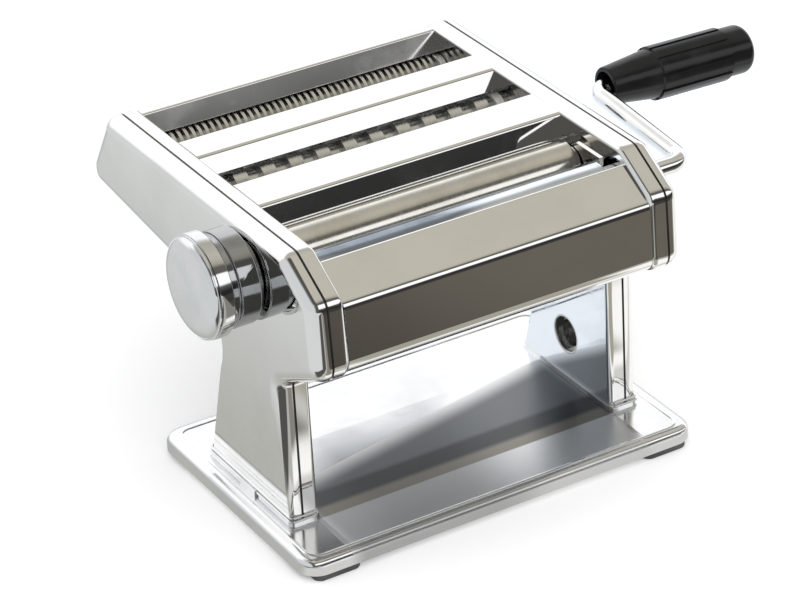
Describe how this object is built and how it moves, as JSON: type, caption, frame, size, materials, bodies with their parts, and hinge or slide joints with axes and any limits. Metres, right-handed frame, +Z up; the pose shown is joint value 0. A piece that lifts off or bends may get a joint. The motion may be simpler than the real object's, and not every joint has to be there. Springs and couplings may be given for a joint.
{
  "type": "pasta machine",
  "caption": "Hand-cranked pasta machine on a base tray, with smooth rollers, a wide and a fine cutter, a thickness knob and a removable crank with a turning grip.",
  "frame": {"origin": "on the table, under the middle of the base tray", "axes": "+X from the knob towards the crank, +Y from the front to the back, +Z up"},
  "size_m": [0.3156, 0.1958, 0.1425],
  "materials": {
    "polished_steel": "mirror polished",
    "tray_steel": "mirror polished",
    "roller_steel": "smooth ground",
    "cutter_metal": "machined",
    "knob_chrome": "bright",
    "crank_chrome": "bright",
    "grip_plastic": "glossy",
    "seam_plastic": "glossy",
    "foot_rubber": "matt",
    "bush_plastic": "matt",
    "scraper_plastic": "matt",
    "gear_steel": "machined",
    "fastener_steel": "zinc plated",
    "spring_steel": "drawn wire"
  },
  "bodies": {
    "frame": {"base_tray": "tray_steel", "rubber_feet": "foot_rubber", "base_screws": "fastener_steel", "base_nuts": "fastener_steel", "right_cheek_plate": "polished_steel", "left_cheek_plate": "polished_steel", "right_cheek_cover": "polished_steel", "left_cheek_cover": "polished_steel", "right_seam_strip": "seam_plastic", "left_seam_strip": "seam_plastic", "clamp_socket": "fastener_steel", "front_cover": "polished_steel", "front_top_bar": "polished_steel", "rear_top_bar": "polished_steel", "rear_cover": "polished_steel", "tie_rods": "fastener_steel", "tie_rod_nuts": "fastener_steel", "gear_support_plate": "gear_steel", "gear_support_spacers": "gear_steel", "roller_side_guides": "polished_steel", "drive_roller_bushes": "bush_plastic", "wide_cutter_bushes": "bush_plastic", "fine_cutter_bushes": "bush_plastic", "adjuster_bush": "bush_plastic", "front_roller_scraper": "scraper_plastic", "rear_roller_scraper": "scraper_plastic", "index_plate": "fastener_steel", "wide_front_comb": "scraper_plastic", "wide_rear_comb": "scraper_plastic", "fine_front_comb": "scraper_plastic", "fine_rear_comb": "scraper_plastic"},
    "drive_roller": {"drive_roller": "roller_steel", "drive_roller_gear": "gear_steel", "drive_roller_collar": "gear_steel"},
    "thickness_adjuster": {"adjuster_shaft": "gear_steel", "knob_nut": "fastener_steel", "knob_spring": "spring_steel"},
    "roller_sleeves": {"roller_sleeves": "bush_plastic"},
    "adjustable_roller": {"adjustable_roller": "roller_steel", "adjustable_roller_gear": "gear_steel"},
    "thickness_knob": {"knob_body": "knob_chrome", "knob_cap": "knob_chrome", "index_pin": "fastener_steel"},
    "crank": {"crank": "crank_chrome", "grip_washer": "fastener_steel"},
    "crank_grip": {"crank_grip": "grip_plastic"},
    "wide_front_cutter": {"wide_front_cutter": "cutter_metal", "wide_front_gear": "gear_steel", "wide_front_collar": "gear_steel"},
    "wide_rear_cutter": {"wide_rear_cutter": "cutter_metal", "wide_rear_gear": "gear_steel"},
    "fine_front_cutter": {"fine_front_cutter": "cutter_metal", "fine_front_gear": "gear_steel", "fine_front_collar": "gear_steel"},
    "fine_rear_cutter": {"fine_rear_cutter": "cutter_metal", "fine_rear_gear": "gear_steel"}
  },
  "joints": [
    {"name": "crank_turn", "type": "hinge", "parent": "frame", "child": "drive_roller", "pos_m": [0, -0.0305, 0.121], "axis": [1, 0, 0], "continuous": true},
    {"name": "thickness_turn", "type": "hinge", "parent": "frame", "child": "thickness_adjuster", "pos_m": [0, -0.00505, 0.11937], "axis": [1, 0, 0], "range_deg": [-45, 45]},
    {"name": "sleeve_turn", "type": "hinge", "parent": "thickness_adjuster", "child": "roller_sleeves", "pos_m": [0, -0.00505, 0.121], "axis": [1, 0, 0], "range_deg": [-45, 45]},
    {"name": "adjustable_roller_turn", "type": "hinge", "parent": "roller_sleeves", "child": "adjustable_roller", "pos_m": [0, -0.00505, 0.121], "axis": [1, 0, 0], "continuous": true},
    {"name": "knob_pull", "type": "slide", "parent": "thickness_adjuster", "child": "thickness_knob", "axis": [-1, 0, 0], "range_m": [-0.0014, 0.004], "stiffness_N_per_m": 600, "deforming": ["knob_spring"]},
    {"name": "crank_pull", "type": "slide", "parent": "drive_roller", "child": "crank", "axis": [1, 0, 0], "range_m": [0, 0.03]},
    {"name": "grip_turn", "type": "hinge", "parent": "crank", "child": "crank_grip", "pos_m": [0.1159, 0.03913, 0.12709], "axis": [0.9997, 0, -0.0244], "continuous": true},
    {"name": "wide_front_turn", "type": "hinge", "parent": "frame", "child": "wide_front_cutter", "pos_m": [0, 0.0382, 0.1208], "axis": [1, 0, 0], "continuous": true},
    {"name": "wide_rear_turn", "type": "hinge", "parent": "frame", "child": "wide_rear_cutter", "pos_m": [0, 0.058, 0.1208], "axis": [1, 0, 0], "continuous": true},
    {"name": "fine_front_turn", "type": "hinge", "parent": "frame", "child": "fine_front_cutter", "pos_m": [0, 0.0862, 0.1208], "axis": [1, 0, 0], "continuous": true},
    {"name": "fine_rear_turn", "type": "hinge", "parent": "frame", "child": "fine_rear_cutter", "pos_m": [0, 0.106, 0.1208], "axis": [1, 0, 0], "continuous": true}
  ],
  "couplings": [
    {"joint": "adjustable_roller_turn", "follows": "crank_turn", "ratio": -1},
    {"joint": "sleeve_turn", "follows": "thickness_turn", "ratio": -1},
    {"joint": "wide_rear_turn", "follows": "wide_front_turn", "ratio": -1},
    {"joint": "fine_rear_turn", "follows": "fine_front_turn", "ratio": -1}
  ]
}
